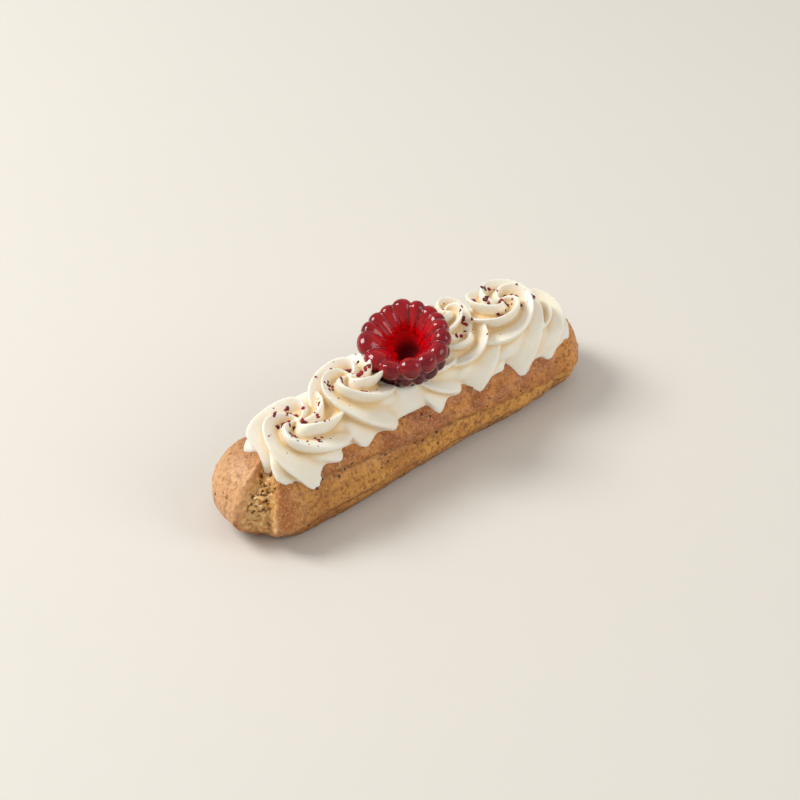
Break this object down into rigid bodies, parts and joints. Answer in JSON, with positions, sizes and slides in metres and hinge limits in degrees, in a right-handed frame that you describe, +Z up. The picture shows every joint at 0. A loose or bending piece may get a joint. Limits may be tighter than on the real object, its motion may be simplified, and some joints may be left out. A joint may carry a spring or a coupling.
{
  "type": "eclair",
  "caption": "Choux eclair topped with a row of piped cream swirls, dried berry flakes and a hollow red berry; a dessert that rests on its flat underside.",
  "frame": {"origin": "middle of the outline seen from above, on the flat underside", "axes": "+X along the choux finger away from its burst end, +Z up; the front seen in the picture is -Y"},
  "size_m": [0.1254, 0.0324, 0.0417],
  "materials": {
    "crust": null,
    "cream": null,
    "berry": null
  },
  "bodies": {
    "root": {"choux_finger": "crust", "piped_cream": "cream", "red_berry": "berry"}
  },
  "joints": []
}
